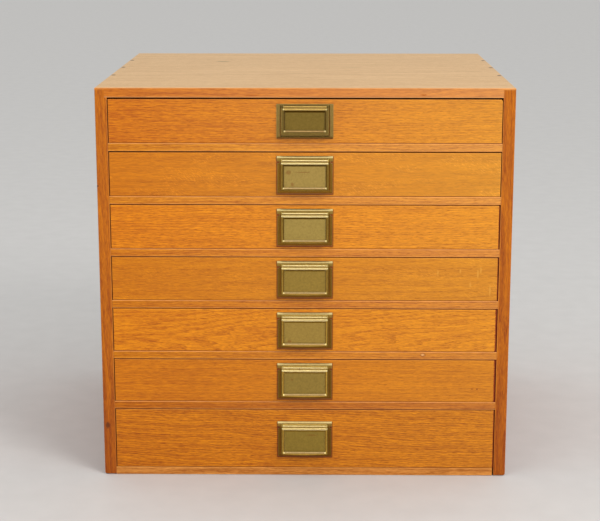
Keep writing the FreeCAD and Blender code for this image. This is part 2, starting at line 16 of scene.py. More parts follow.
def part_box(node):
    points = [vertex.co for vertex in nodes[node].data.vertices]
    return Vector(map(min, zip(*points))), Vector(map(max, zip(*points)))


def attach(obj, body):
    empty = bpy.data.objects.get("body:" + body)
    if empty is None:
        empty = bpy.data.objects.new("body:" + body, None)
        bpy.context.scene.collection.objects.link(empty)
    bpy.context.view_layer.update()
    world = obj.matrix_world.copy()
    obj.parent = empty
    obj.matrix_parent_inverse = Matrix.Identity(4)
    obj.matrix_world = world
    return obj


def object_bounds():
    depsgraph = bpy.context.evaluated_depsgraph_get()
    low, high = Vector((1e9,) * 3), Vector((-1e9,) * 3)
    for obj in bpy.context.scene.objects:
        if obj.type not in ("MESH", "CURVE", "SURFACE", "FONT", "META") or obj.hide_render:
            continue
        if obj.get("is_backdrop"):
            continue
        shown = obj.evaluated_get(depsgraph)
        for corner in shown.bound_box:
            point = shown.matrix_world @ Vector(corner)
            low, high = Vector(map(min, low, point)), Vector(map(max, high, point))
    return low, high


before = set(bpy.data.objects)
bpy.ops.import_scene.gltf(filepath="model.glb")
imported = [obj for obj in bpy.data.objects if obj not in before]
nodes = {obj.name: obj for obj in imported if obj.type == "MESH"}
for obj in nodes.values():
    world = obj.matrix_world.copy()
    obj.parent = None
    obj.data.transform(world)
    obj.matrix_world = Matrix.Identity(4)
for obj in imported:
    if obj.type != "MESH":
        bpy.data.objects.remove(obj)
cad_low, cad_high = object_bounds()
MM = 0.001
print("frame in mm:", [round(side / MM, 1) for side in cad_high - cad_low])

# %% [markdown]
# ## The camera
# A long lens from about two metres away looks slightly down, so the upright lines nearly stay
# parallel and the top shows as a narrow band. The numbers were found by fitting a pinhole camera
# to the chest's corners and drawer lines in the photograph, which is 600 by 521 pixels. Blender
# wants a lens in millimetres, so the focal length in pixels is turned into one.

# %% Camera
PHOTO_WIDTH = 600
PHOTO_HEIGHT = 521
FOCAL_PIXELS = 1565.6
CENTRE_ACROSS = 300.6        # where the lens axis meets the photograph
CENTRE_DOWN = 263.9
CAMERA_PLACE = Vector((0.0181, -2.0017, 0.6584))
LOOKS_DOWN = math.radians(12.64)
LOOKS_LEFT = math.radians(0.741)

lens = bpy.data.cameras.new("camera")
lens.lens = FOCAL_PIXELS / PHOTO_WIDTH * lens.sensor_width
lens.shift_x = (PHOTO_WIDTH / 2 - CENTRE_ACROSS) / PHOTO_WIDTH
lens.shift_y = (CENTRE_DOWN - PHOTO_HEIGHT / 2) / PHOTO_WIDTH
camera = bpy.data.objects.new("camera", lens)
camera.location = CAMERA_PLACE
camera.rotation_euler = (math.pi / 2 - LOOKS_DOWN, 0, LOOKS_LEFT)
bpy.context.scene.collection.objects.link(camera)
bpy.context.scene.camera = camera
bpy.context.scene.view_settings.view_transform = "Standard"
print("lens in mm:", round(lens.lens, 1))

# %% [markdown]
# ## Small tools for materials
# Shaders calculate with linear light, while a colour picked from a screen is sRGB, so one
# function turns hex colours into linear ones. A second function adds a shader node, sets its
# properties and fills its sockets with plain values or with links from other nodes. With it a
# material reads as a list of steps. The third one starts a material that has no nodes yet.

# %% Colours and nodes
def linear(hex_colour):
    """The linear RGBA of an sRGB colour such as #D98A35."""
    channels = []
    for start in (1, 3, 5):
        share = int(hex_colour[start:start + 2], 16) / 255
        channels.append(share / 12.92 if share <= 0.04045 else ((share + 0.055) / 1.055) ** 2.4)
    return (*channels, 1.0)


def node(tree, kind, sockets=None, **settings):
    """Adds a shader node of a kind, such as Math or Mix. A socket is filled with a value, linked
    to another node's output, or, when a whole node is given, to its first output."""
    made = tree.nodes.new("ShaderNode" + kind)
    for name, value in settings.items():
        setattr(made, name, value)
    for socket, value in (sockets or {}).items():
        if isinstance(value, bpy.types.Node):
            value = value.outputs[0]
        if isinstance(value, bpy.types.NodeSocket):
            tree.links.new(value, made.inputs[socket])
        else:
            made.inputs[socket].default_value = value
    return made


def new_material(name):
    material = bpy.data.materials.new(name)
    material.use_nodes = True
    material.node_tree.nodes.clear()
    return material, material.node_tree


# The mix node keeps sockets for numbers, vectors and colours side by side.
# These are the places of its factor, its two colours and the mixed colour.
FACTOR = 0
COLOUR_A = 6
COLOUR_B = 7
COLOUR_OUT = 2
print("golden oak in linear light:", [round(channel, 3) for channel in linear("#D98A35")])

# %% [markdown]
# ## Floor
# The floor is a large pale sheet, so wide that the camera never sees its rim, and it keeps the
# chest's soft shadow. Its paint is matte, so it throws light back evenly and mirrors nothing. A
# faint mottling stops it from looking like a computer's grey.

# %% Floor
FLOOR_RADIUS = 40.0
FLOOR_DROP = 0.0003          # just under the chest, so that the two surfaces don't fight

floor_mesh = bpy.data.meshes.new("floor")
shape = bmesh.new()
bmesh.ops.create_circle(shape, cap_ends=True, segments=64, radius=FLOOR_RADIUS)
shape.to_mesh(floor_mesh)
shape.free()
floor = bpy.data.objects.new("floor", floor_mesh)
floor.location.z = -FLOOR_DROP
bpy.context.scene.collection.objects.link(floor)
floor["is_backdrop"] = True


def mottled(name, light, dark, cloud_mm, sockets, detail=3.0):
    """A material whose colour drifts between two, in clouds of cloud_mm."""
    material, tree = new_material(name)
    where = node(tree, "TexCoord").outputs["Object"]
    cloud = node(tree, "TexNoise", {"Vector": where, "Scale": 1 / (cloud_mm * MM), "Detail": detail})
    colour = node(tree, "Mix", {
        FACTOR: cloud, COLOUR_A: linear(dark), COLOUR_B: linear(light),
    }, data_type="RGBA").outputs[COLOUR_OUT]
    surface = node(tree, "BsdfPrincipled", {"Base Color": colour, **sockets})
    node(tree, "OutputMaterial", {"Surface": surface})
    return material


floor.data.materials.append(mottled("matte pale floor paint", "#CFCCC8", "#C6C3BF", 35.0, {
    "Roughness": 0.9, "Specular IOR Level": 0.2,
}))
print("floor is", 2 * FLOOR_RADIUS, "m wide")

# %% [markdown]
# ## Light
# Most of the light comes from the world, which is bright overhead, like a white ceiling, and
# dimmer towards the horizon: so the upper half of every brass moulding catches a bright line and
# the lower half stays dark. A softbox high on the right in front gives the light a direction, a
# weaker one on the left lightens the shadows, and a small low one straight ahead draws a thin
# bright line along every moulding.

# %% Lamps and world
AIM = Vector((0, 0, 0.23))
SKY_COLOUR = "#F2F4F6"
CEILING_STRENGTH = 1.15
HORIZON_STRENGTH = 0.40
CEILING_STARTS = 0.15        # sine of the height above the horizon where the light starts to rise
CEILING_FULL = 0.75          # and where it is full


def softbox(name, place, size, watts):
    lamp = bpy.data.lights.new(name, "AREA")
    lamp.shape = "DISK"
    lamp.size = size
    lamp.energy = watts
    box = bpy.data.objects.new(name, lamp)
    box.location = place
    box.rotation_euler = (Vector(place) - AIM).to_track_quat("Z", "Y").to_euler()
    bpy.context.scene.collection.objects.link(box)
    print(name, "is", round((Vector(place) - AIM).length, 2), "m away")


softbox("key softbox", (1.5, -1.9, 1.9), 1.2, 36)
softbox("fill softbox", (-2.2, -2.4, 1.6), 1.8, 12)
softbox("front softbox", (0.0, -2.8, 0.45), 0.6, 3.5)

world = bpy.data.worlds.new("soft studio")
world.use_nodes = True
sky = world.node_tree
sky.nodes.clear()
direction = node(sky, "TexCoord").outputs["Generated"]
height = node(sky, "SeparateXYZ", {0: direction}).outputs["Z"]
strength = node(sky, "MapRange", {
    "Value": height, "From Min": CEILING_STARTS, "From Max": CEILING_FULL,
    "To Min": HORIZON_STRENGTH, "To Max": CEILING_STRENGTH,
}, interpolation_type="SMOOTHSTEP")
glow = node(sky, "Background", {"Color": linear(SKY_COLOUR), "Strength": strength})
node(sky, "OutputWorld", {"Surface": glow})
bpy.context.scene.world = world

# %% [markdown]
# ## Oak
# Oak is a ring-porous wood. Each year it lays down a band of wide pores, which shows as a row of
# dark dashes along the grain, and then a band of dense pale wood. Where a board is cut along the
# rays from the pith, the rays show as pale flecks across the grain.
# All of this lives in the log, so the material is a solid one: rings round a pith line that lies
# somewhere behind or beside the board, dashes that run along it, and flecks. A board then shows
# straight lines, arches or end grain by where it was cut, as the real one does. The whole pattern
# is worked out in millimetres from each board's own middle.

# %% Oak: coordinates in the log
GRAIN_ORDERS = {              # which of the board's axes runs along, across and through the log
    "X": ("X", "Z", "Y"),
    "Y": ("Y", "Z", "X"),
    "Z": ("Z", "X", "Y"),
    "flat X": ("X", "Y", "Z"),
}
SWAY_LENGTH_MM = 130.0        # how long and how wide the slow bends of the grain are
SWAY_WIDTH_MM = 34.0


def board_places(tree, board):
    """Each point's place in mm, counted from the middle of a board."""
    low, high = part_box(board)
    where = node(tree, "TexCoord").outputs["Object"]
    offset = node(tree, "VectorMath", {0: where, 1: (low + high) / 2}, operation="SUBTRACT")
    return node(tree, "VectorMath", {0: offset, "Scale": 1 / MM}, operation="SCALE")


def log_places(tree, places, grain, pith, slope, wander):
    """Turns places in a board into places in the log, whose pith is the first axis. pith is how
    far away in mm the pith lies across and through the board, slope how much it strays from the
    grain's direction per mm, and wander how far in mm the grain sways."""
    parts = node(tree, "SeparateXYZ", {0: places})
    along, across, through = (parts.outputs[axis] for axis in GRAIN_ORDERS[grain])
    ordered = node(tree, "CombineXYZ", {0: along, 1: across, 2: through})
    stretched = node(tree, "VectorMath", {
        0: ordered, 1: (SWAY_LENGTH_MM, SWAY_WIDTH_MM, SWAY_WIDTH_MM),
    }, operation="DIVIDE")
    sway = node(tree, "TexNoise", {"Vector": stretched, "Scale": 1.0, "Detail": 2.0})
    centred = node(tree, "VectorMath", {
        0: sway.outputs["Color"], 1: (0.5, 0.5, 0.5),
    }, operation="SUBTRACT")
    swayed = node(tree, "VectorMath", {
        0: centred, 1: (0, wander, wander), 2: ordered,
    }, operation="MULTIPLY_ADD")
    return node(tree, "Mapping", {
        "Vector": swayed,
        "Location": (0, *pith),
        "Rotation": (0, math.atan(slope[1]), math.atan(slope[0])),
    })


low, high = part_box("drawer_1_front")
print("first front in mm:", [round(side / MM, 1) for side in high - low])

# %% [markdown]
# ## Streaks and rings
# Whatever runs along the grain is a soft noise, pulled out to the length and width of what it
# stands for and cut off between two limits. Slow clouds of colour, fine fibres, pores and flecks
# differ only in these four numbers. The rings are a wave round the pith, shifted by another
# such noise, because no two years give rings of one width.

# %% Oak: streaks and rings
SEED_STEPS = (17, 29, 41)                # how far apart in the noise two seeds lie
RING_WIDTH_SCALE = 2 * math.pi / 20      # a wave texture of this scale has bands 1 unit apart
RING_UNEVENNESS = 9.0                    # how far, in radians, the rings stray from even spacing
YEARS_LENGTH_MM = 900                    # how far along the log a ring keeps its width
POROUS_PART = (0.1, 0.75)                # shares of a ring where its pores thin out and end


def streaks(tree, log, seed, length_mm, width_mm, low, high, turn=0.0):
    """Marks drawn out along the grain: 0 below the low limit of a noise, 1 above the high one."""
    stretched = node(tree, "Mapping", {
        "Vector": log,
        "Location": tuple(step * seed for step in SEED_STEPS),
        "Rotation": (0, 0, turn),
        "Scale": (length_mm, width_mm, width_mm),
    }, vector_type="TEXTURE")
    cloud = node(tree, "TexNoise", {"Vector": stretched, "Scale": 1.0, "Detail": 1.5})
    return node(tree, "MapRange", {
        "Value": cloud, "From Min": low, "From Max": high,
    }, interpolation_type="SMOOTHSTEP")


def growth_rings(tree, log, ring_mm, seed):
    """1 in the porous part of each ring, 0 in the dense part. Fat and lean years alternate."""
    years = streaks(tree, log, seed, YEARS_LENGTH_MM, 4 * ring_mm, low=0.2, high=0.8)
    shift = node(tree, "Math", {0: years, 1: RING_UNEVENNESS}, operation="MULTIPLY")
    bands = node(tree, "TexWave", {
        "Vector": log,
        "Scale": RING_WIDTH_SCALE / ring_mm,
        "Phase Offset": shift,
    }, wave_type="RINGS", rings_direction="X", wave_profile="SAW")
    return node(tree, "MapRange", {
        "Value": bands.outputs["Fac"], "From Min": POROUS_PART[0], "From Max": POROUS_PART[1],
        "To Min": 1.0, "To Max": 0.0,
    }, interpolation_type="SMOOTHSTEP")


print("rings can stray by", round(RING_UNEVENNESS / (2 * math.pi), 1), "ring widths")

# %% [markdown]
# ## Rubbed and highlit edges
# Hands and cloths rub lacquer off the edges, so wood shows paler there; on the top and on the boards
# between the drawers the pale edge is also a painted highlight, where the arris catches the light.
# Where a point lies on its board says how near it is to an edge, so the mesh isn't needed for this.

# %% Oak: rubbed and highlit edges
WEAR_PATCH_MM = 50 / 3       # rubbed patches along an edge, three in 50 mm


def edge_wear(tree, places, board, width_mm):
    """1 along the board's edges and 0 elsewhere, in patches about width_mm wide. Of a point's
    three distances to the board's faces the middle one is that to the nearest edge."""
    low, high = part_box(board)
    half = (high - low) / 2 / MM
    inside = node(tree, "VectorMath", {0: places}, operation="ABSOLUTE")
    depth = node(tree, "VectorMath", {0: half, 1: inside}, operation="SUBTRACT")
    parts = node(tree, "SeparateXYZ", {0: depth}).outputs
    least_two = node(tree, "Math", {0: parts[0], 1: parts[1]}, operation="MINIMUM")
    most_two = node(tree, "Math", {0: parts[0], 1: parts[1]}, operation="MAXIMUM")
    inner = node(tree, "Math", {0: most_two, 1: parts[2]}, operation="MINIMUM")
    middle = node(tree, "Math", {0: least_two, 1: inner}, operation="MAXIMUM")
    broken = node(tree, "TexNoise", {"Vector": places, "Scale": 1 / WEAR_PATCH_MM, "Detail": 3.0})
    reach = node(tree, "Math", {0: broken, 1: 2 * width_mm}, operation="MULTIPLY")
    return node(tree, "MapRange", {"Value": middle, "From Min": reach, "From Max": 0.2 * width_mm})


print("rubbed patches are about", round(WEAR_PATCH_MM), "mm long")

# %% [markdown]
# ## Painted shade in the gaps
# The narrow gaps round the drawers lie in shade, which is painted on the faces that look into
# them as a rusty brown with no gloss. A point's depth behind the front says how deep in the
# shade it is. Light falls on a board's upper arris from above, so the shade starts a little later
# there.

# %% Oak: painted shade in the gaps
GAP_FADES_MM = (3.0, 8.0)    # depths behind the front where the painted shade starts to fade and ends


def gap_shade(tree, places, board, starts_mm, lit_arris_mm, sheltered):
    """1 on faces just behind the front that look into a gap, 0 elsewhere: painted shade. Above the
    board's middle, where light reaches its arris, the shade starts lit_arris_mm later. Where only
    one side of the board looks into gaps, sheltered points to that side."""
    low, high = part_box(board)
    parts = node(tree, "SeparateXYZ", {0: places}).outputs
    depth = node(tree, "Math", {0: parts["Y"], 1: (high.y - low.y) / 2 / MM})
    upper = node(tree, "Math", {0: parts["Z"], 1: 0.0}, operation="GREATER_THAN")
    hidden = node(tree, "Math", {0: upper, 1: -lit_arris_mm, 2: depth}, operation="MULTIPLY_ADD")
    begun = node(tree, "MapRange", {
        "Value": hidden, "From Min": starts_mm[0], "From Max": starts_mm[1],
    }, interpolation_type="SMOOTHSTEP")
    shade = node(tree, "MapRange", {
        "Value": depth, "From Min": GAP_FADES_MM[1], "From Max": GAP_FADES_MM[0], "To Max": begun,
    }, interpolation_type="SMOOTHSTEP")
    if not sheltered:
        return shade
    side = node(tree, "VectorMath", {0: places, 1: sheltered}, operation="DOT_PRODUCT")
    return node(tree, "MapRange", {"Value": side.outputs["Value"], "From Max": 0.5, "To Max": shade})


print("dirt ends", GAP_FADES_MM[1], "mm behind the front")

# %% [markdown]
# ## Marks and stains
# Single marks are ovals with soft, ragged edges. They are listed one by one, at places counted like
# everything else from the middle of the chest's floor. A painted shadow lies as a dark line on the
# wood round all pulls but the first, following the outline of the brass and reaching further below it.

# %% Marks and stains
FACE_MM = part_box("side_left")[0].y / MM      # the plane of the fronts and of the carcase
MARK_DEPTH_MM = 12.0
RAGGED_MM = 10 / 7                           # teeth in the edge of a mark, seven in 10 mm
MARK_FADES = (0.9, 1.6)                      # in half lengths, with the ragged noise added


def mark(across, up, half_across, half_up, depth=MARK_DEPTH_MM):
    """An oval mark on the front, by its place on the chest and its half lengths in mm."""
    return (across, FACE_MM, up), (half_across, depth, half_up)


def mark_mask(tree, places, board, marks):
    """1 inside any of the marks, with ragged edges."""
    low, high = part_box(board)
    board_middle = (low + high) / 2 / MM
    ragged = node(tree, "TexNoise", {"Vector": places, "Scale": 1 / RAGGED_MM, "Detail": 3.0})
    mask = 0.0
    for middle, half in marks:
        away = node(tree, "VectorMath", {
            0: places, 1: Vector(middle) - board_middle,
        }, operation="SUBTRACT")
        share = node(tree, "VectorMath", {0: away, 1: half}, operation="DIVIDE")
        distance = node(tree, "VectorMath", {0: share}, operation="LENGTH")
        rough = node(tree, "Math", {0: distance.outputs["Value"], 1: ragged})
        inside = node(tree, "MapRange", {
            "Value": rough, "From Min": MARK_FADES[1], "From Max": MARK_FADES[0],
        }, interpolation_type="SMOOTHSTEP")
        mask = node(tree, "Math", {0: mask, 1: inside}, operation="MAXIMUM")
    return mask


def close_to(tree, places, board, other, drop_mm, reach_mm):
    """1 at another piece's outline on the front, fading to 0 at reach_mm from it. The outline is
    let down by drop_mm, so that the mask is wider below the piece than above."""
    low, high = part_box(other)
    board_low, board_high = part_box(board)
    middle = (low + high - board_low - board_high) / 2 / MM - Vector((0, 0, drop_mm))
    away = node(tree, "VectorMath", {0: places, 1: middle}, operation="SUBTRACT")
    size = node(tree, "VectorMath", {0: away}, operation="ABSOLUTE")
    beyond = node(tree, "VectorMath", {0: size, 1: (high - low) / 2 / MM}, operation="SUBTRACT")
    beyond = node(tree, "VectorMath", {0: beyond, 1: (0, 0, 0)}, operation="MAXIMUM")
    flat = node(tree, "VectorMath", {0: beyond, 1: (1, 0, 1)}, operation="MULTIPLY")
    distance = node(tree, "VectorMath", {0: flat}, operation="LENGTH")
    return node(tree, "MapRange", {
        "Value": distance.outputs["Value"], "From Min": reach_mm, "From Max": 0.4 * reach_mm,
    })


print("fronts lie at", round(FACE_MM, 1), "mm")

# %% [markdown]
# ## The grain of a board
# Clouds, rings and fibres decide how dark the wood is, pores are dark dashes that crowd in the
# porous part of a ring, and flecks are short pale strokes askew to the grain, in patches. Real
# pores are a quarter of a millimetre wide, which a picture of this size can't show, so they are
# drawn nearly three times as wide.

# %% Oak: the grain
CLOUDS = dict(length_mm=120, width_mm=5, low=0.3, high=0.7)
FIBRES = dict(length_mm=10, width_mm=0.65, low=0.36, high=0.64)
SHORT_PORES = dict(length_mm=5, width_mm=0.65, low=0.52, high=0.68)
LONG_PORES = dict(length_mm=15, width_mm=0.7, low=0.55, high=0.72)
FLECKS = dict(length_mm=4, width_mm=1.0, low=0.50, high=0.66, turn=math.radians(-35))
FLECK_PATCHES = dict(length_mm=50, width_mm=16, low=0.4, high=0.65)


def grain_darkness(tree, log, ring, rings, fibres, tone, seed):
    """0 in the wood's palest places, 1 and more in its darkest. rings, fibres and tone weigh the
    rings, the fibres and the clouds."""
    darkness = 0.0
    for pattern, weight in (
        (streaks(tree, log, seed + 1, **CLOUDS), tone),
        (ring, rings),
        (streaks(tree, log, seed + 6, **FIBRES), fibres),
    ):
        darkness = node(tree, "Math", {0: pattern, 1: weight, 2: darkness}, operation="MULTIPLY_ADD")
    return darkness


def pore_mask(tree, log, ring, pores, seed):
    """How open the pores are: up to pores in the porous part of a ring, half of it elsewhere."""
    short = streaks(tree, log, seed + 2, **SHORT_PORES)
    long = streaks(tree, log, seed + 3, **LONG_PORES)
    dashes = node(tree, "Math", {0: short, 1: long}, operation="MAXIMUM")
    crowded = node(tree, "Math", {0: ring, 1: 0.5 * pores, 2: 0.5 * pores}, operation="MULTIPLY_ADD")
    return node(tree, "Math", {0: dashes, 1: crowded}, operation="MULTIPLY")


def fleck_mask(tree, log, flecks, seed):
    """How bright the flecks are, which only some patches of a board have."""
    slender = streaks(tree, log, seed + 4, **FLECKS)
    patches = streaks(tree, log, seed + 5, **FLECK_PATCHES)
    amount = node(tree, "Math", {0: slender, 1: patches}, operation="MULTIPLY")
    return node(tree, "Math", {0: amount, 1: flecks}, operation="MULTIPLY")


print("pores are drawn", SHORT_PORES["length_mm"], "and", LONG_PORES["length_mm"], "mm long")

# %% [markdown]
# ## Painted light and feet
# Painted light makes the wood a little paler and yellower, most at the upper right of the front.
# The feet of the sides are grubby, up to about a third of their height.

# %% Oak: painted light and feet
RIGHT_LIGHT_AT_FLOOR = 0.06                   # share of its colour that the painted light replaces at a board's right end
RIGHT_LIGHT_AT_TOP = 0.24
FOOT_FADES_MM = (40.0, 170.0)            # heights where the grubby foot starts to fade and ends


def right_light_share(tree, places, board):
    """How much painted light lies on the board: nothing at the left, the more the higher the board."""
    low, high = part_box(board)
    height = (low.z + high.z) / 2 / cad_high.z
    return node(tree, "MapRange", {
        "Value": node(tree, "SeparateXYZ", {0: places}).outputs["X"],
        "From Min": cad_low.x / MM, "From Max": cad_high.x / MM,
        "To Max": RIGHT_LIGHT_AT_FLOOR + (RIGHT_LIGHT_AT_TOP - RIGHT_LIGHT_AT_FLOOR) * height,
    })


def foot_mask(tree, places, board):
    """1 at the board's foot, fading to 0 further up."""
    low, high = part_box(board)
    middle = (low.z + high.z) / 2 / MM
    return node(tree, "MapRange", {
        "Value": node(tree, "SeparateXYZ", {0: places}).outputs["Z"],
        "From Min": FOOT_FADES_MM[1] - middle, "From Max": FOOT_FADES_MM[0] - middle,
    }, interpolation_type="SMOOTHSTEP")


print("feet are grubby up to", FOOT_FADES_MM[1], "mm")

# %% [markdown]
# ## Lacquered oak
# The fronts and the carcase are oak under a clear cellulose lacquer that has yellowed, so the
# wood looks golden orange and has a soft gloss over a slightly open grain. In the shader the wood
# is a rough base, and the lacquer is a thin coat over it. End grain soaks up more lacquer and
# looks darker. Painted light at the right, wear with painted highlights, marks, a painted
# shadow round the pulls and painted shade in the gaps are a list of layers, which are mixed
# over the wood one after another.

# %% Oak: one function for all boards
PORE_TINT = (0.60, 0.46, 0.34, 1)        # what is left of the wood's colour inside a pore
FLECK_TINT = (1.22, 1.30, 1.7, 1)        # and how much brighter a fleck is
END_GRAIN_TINT = (0.62, 0.52, 0.44, 1)
FOOT_TINT = (0.80, 0.70, 0.55, 1)
PULL_SHADOW_TINT = (0.42, 0.29, 0.12, 1)
PULL_SHADOW_DROP_MM = 1.1
PULL_SHADOW_REACH_MM = 1.2
WORN_COLOUR = "#F0A552"
GAP_SHADE_COLOUR = "#9C3206"
WOOD_ROUGHNESS = 0.42
PORE_ROUGHNESS = 0.62
PORE_DEPTH_MM = 0.1


def oak(name, board, grain, light, dark, ring_mm=2.6, pith=(70, 120), slope=(0, 0), wander=5.0,
        rings=0.25, fibres=0.5, tone=0.3, pores=0.7, flecks=0.0, wear=0.3, wear_mm=1.0,
        worn_and_highlit=WORN_COLOUR, shaded_gaps=False, shade_starts=(0.4, 1.3), lit_arris=0.0,
        sheltered=None, pale_and_sheen=None, right_light=None, marks=(), fixed_on=None,
        grubby_foot=False, lacquer=0.12, seed=1.0):
    """A board's own oak between two colours. pale_and_sheen are the two that its upper face has
    instead, paler wood under a painted sheen of the light from above, right_light is the colour of
    the painted light that grows towards the board's right, and each of marks is a colour with its
    spots."""
    material, tree = new_material(name)
    places = board_places(tree, board)
    log = log_places(tree, places, grain, pith, slope, wander)
    ring = growth_rings(tree, log, ring_mm, seed)
    darkness = grain_darkness(tree, log, ring, rings, fibres, tone, seed)
    open_pores = pore_mask(tree, log, ring, pores, seed)
    normal = node(tree, "NewGeometry").outputs["Normal"]
    facing = node(tree, "SeparateXYZ", {0: normal}).outputs

    layers = [(darkness, "MIX", linear(dark))]
    # Painted light, growing towards the right and towards the top.
    if right_light:
        layers.append((right_light_share(tree, places, board), "MIX", linear(right_light)))
    # The upper face: paler wood under a painted sheen of the light from above.
    if pale_and_sheen:
        up = node(tree, "MapRange", {"Value": facing["Z"], "From Min": 0.5, "From Max": 0.95})
        pale = node(tree, "Mix", {
            FACTOR: darkness, COLOUR_A: linear(pale_and_sheen[0]), COLOUR_B: linear(pale_and_sheen[1]),
        }, data_type="RGBA")
        layers.append((up, "MIX", pale.outputs[COLOUR_OUT]))
    layers.append((open_pores, "MULTIPLY", PORE_TINT))
    if flecks:
        layers.append((fleck_mask(tree, log, flecks, seed), "MULTIPLY", FLECK_TINT))
    end = node(tree, "Math", {0: facing[GRAIN_ORDERS[grain][0]]}, operation="ABSOLUTE")
    end_grain = node(tree, "MapRange", {"Value": end, "From Min": 0.6, "From Max": 0.9})
    layers.append((end_grain, "MULTIPLY", END_GRAIN_TINT))
    rubbed_and_highlit = node(tree, "Math", {
        0: edge_wear(tree, places, board, wear_mm), 1: wear,
    }, operation="MULTIPLY")
    layers.append((rubbed_and_highlit, "MIX", linear(worn_and_highlit)))
    if grubby_foot:
        layers.append((foot_mask(tree, places, board), "MULTIPLY", FOOT_TINT))
    for mark_colour, spots in marks:
        layers.append((mark_mask(tree, places, board, spots), "MIX", linear(mark_colour)))
    # A painted shadow of the pull on the wood round it, wider below.
    if fixed_on:
        pull_shadow = close_to(tree, places, board, fixed_on, PULL_SHADOW_DROP_MM, PULL_SHADOW_REACH_MM)
        layers.append((pull_shadow, "MULTIPLY", PULL_SHADOW_TINT))

    roughness = node(tree, "MapRange", {
        "Value": open_pores, "To Min": WOOD_ROUGHNESS, "To Max": PORE_ROUGHNESS,
    })
    coat = lacquer
    # Painted shade in the gaps: rusty brown, rough and without the coat.
    if shaded_gaps:
        shade = gap_shade(tree, places, board, shade_starts, lit_arris, sheltered)
        layers.append((shade, "MIX", linear(GAP_SHADE_COLOUR)))
        roughness = node(tree, "Math", {0: shade, 1: roughness}, operation="MAXIMUM")
        coat = node(tree, "Math", {0: shade, 1: -lacquer, 2: lacquer}, operation="MULTIPLY_ADD")
    colour = linear(light)
    for factor, blend, tint in layers:
        colour = node(tree, "Mix", {
            FACTOR: factor, COLOUR_A: colour, COLOUR_B: tint,
        }, data_type="RGBA", blend_type=blend).outputs[COLOUR_OUT]

    relief = node(tree, "Math", {0: open_pores, 1: -1.0}, operation="MULTIPLY")
    bump = node(tree, "Bump", {"Strength": 0.15, "Distance": PORE_DEPTH_MM * MM, "Height": relief})
    surface = node(tree, "BsdfPrincipled", {
        "Base Color": colour,
        "Roughness": roughness,
        "IOR": 1.5,
        "Specular IOR Level": 0.2,
        "Coat Weight": coat,
        "Coat Roughness": 0.25,
        "Coat IOR": 1.5,
        "Normal": bump,
    })
    node(tree, "OutputMaterial", {"Surface": surface})
    return material


def finish(piece, material):
    """Gives a piece one material in place of what it came with."""
    piece.data.materials.clear()
    piece.data.materials.append(material)


print("lacquered oak:", WOOD_ROUGHNESS, "rough, and", PORE_ROUGHNESS, "in its pores")

# %% [markdown]
# ## The drawer fronts
# No two fronts were cut alike, which is a large part of the chest's character. The first and
# third have fine straight lines, the second and fourth were cut near the rays and show flecks,
# the fifth has a faint arch, the sixth is plain, and the deep one is wavy. So each front gets the
# same oak with its own place in the log and its own two colours. The pale rays on the fourth, two
# dark spots on the sixth and the painted shade along the right-hand ends are single marks, given one by
# one.

# %% Drawer fronts
# Painted light at the right of the fronts, strongest high up.
RIGHT_LIGHT_COLOUR = "#FFD45C"
STAIN_AND_SHADE_COLOUR = "#7A2204"
RAY_COLOUR = "#DA9533"
RAY_HALF_WIDTH_MM = 1.3
WHOLE_END_MM = 300.0          # half height of a mark that takes in the whole end of a front
FRONT_FIGURES = {
    1: dict(light="#E48501", dark="#B55601", pith=(150, 60), wander=6.0, rings=0.2, fibres=0.6),
    2: dict(light="#DA7F01", dark="#B35D01", pith=(20, 400), rings=0.12, pores=0.4, flecks=0.9),
    3: dict(light="#F09002", dark="#C16301", pith=(180, 50), wander=7.0, rings=0.2, fibres=0.6,
            pores=0.8),
    4: dict(light="#DB8301", dark="#B45C01", pith=(30, 420), rings=0.12, pores=0.6, flecks=0.6),
    5: dict(light="#ED9104", dark="#BE6101", pith=(20, 70), slope=(0.02, 0.05), wander=8.0,
            rings=0.3, fibres=0.55, tone=0.2, pores=0.8),
    6: dict(light="#DD8201", dark="#B25901", pith=(160, 90), wander=7.0, rings=0.15, pores=0.6),
    7: dict(light="#E48904", dark="#A75001", pith=(110, 45), slope=(0.03, 0.0), wander=12.0,
            rings=0.3, pores=0.9),
}
PALE_RAYS = [mark(across, up, RAY_HALF_WIDTH_MM, half) for across, up, half in (
    (201.5, 248, 7), (205, 252, 5), (216, 227.6, 8), (193, 235, 4), (155, 249, 4), (181, 251, 3),
)]
FRONT_MARKS = {
    4: [(RAY_COLOUR, PALE_RAYS)],
    6: [(STAIN_AND_SHADE_COLOUR, [mark(204, 108, 1.2, 0.9), mark(198, 108, 2.0, 0.6)])],
}
SHADED_END_MM = {3: 1.4, 4: 1.4, 5: 2.4, 6: 2.4, 7: 1.4}    # width of the painted shade at the right-hand end
for number, figure in FRONT_FIGURES.items():
    board = f"drawer_{number}_front"
    spots = FRONT_MARKS.get(number, [])
    if number in SHADED_END_MM:
        low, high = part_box(board)
        middle = (low + high) / 2 / MM
        end_shade = mark(high.x / MM, middle.z, SHADED_END_MM[number], WHOLE_END_MM)
        spots = spots + [(STAIN_AND_SHADE_COLOUR, [end_shade])]
    finish(nodes[board], oak(
        f"lacquered oak front {number}", board, "X", wear=0.35, wear_mm=0.8, shaded_gaps=True,
        shade_starts=(0.05, 0.5), lit_arris=0.7, marks=spots, right_light=RIGHT_LIGHT_COLOUR,
        fixed_on=None if number == 1 else f"drawer_{number}_pull", seed=3.7 * number, **figure,
    ))
print("drawer fronts:", len(FRONT_FIGURES))

# %% [markdown]
# ## The top
# The top's upper face is the palest wood on the chest, partly paler wood and partly a painted
# sheen of the light from above, while its front edge is as orange as the drawers. Iron darkens oak,
# so the wood round each nail is stained. The stains are placed by the nails in the frame, and the
# smudges are listed one by one.

# %% The top
RIGHT_LIGHT_RAW_COLOUR = "#FFCC88"            # painted light on boards where the lacquer is thin
TOP_MM = cad_high.z / MM
TOP_MARK_DEPTH_MM = 4


def mark_on_top(across, back, half_across, half_back):
    """An oval mark on the top, by its place on the chest and its half lengths in mm."""
    return (across, back, TOP_MM), (half_across, half_back, TOP_MARK_DEPTH_MM)


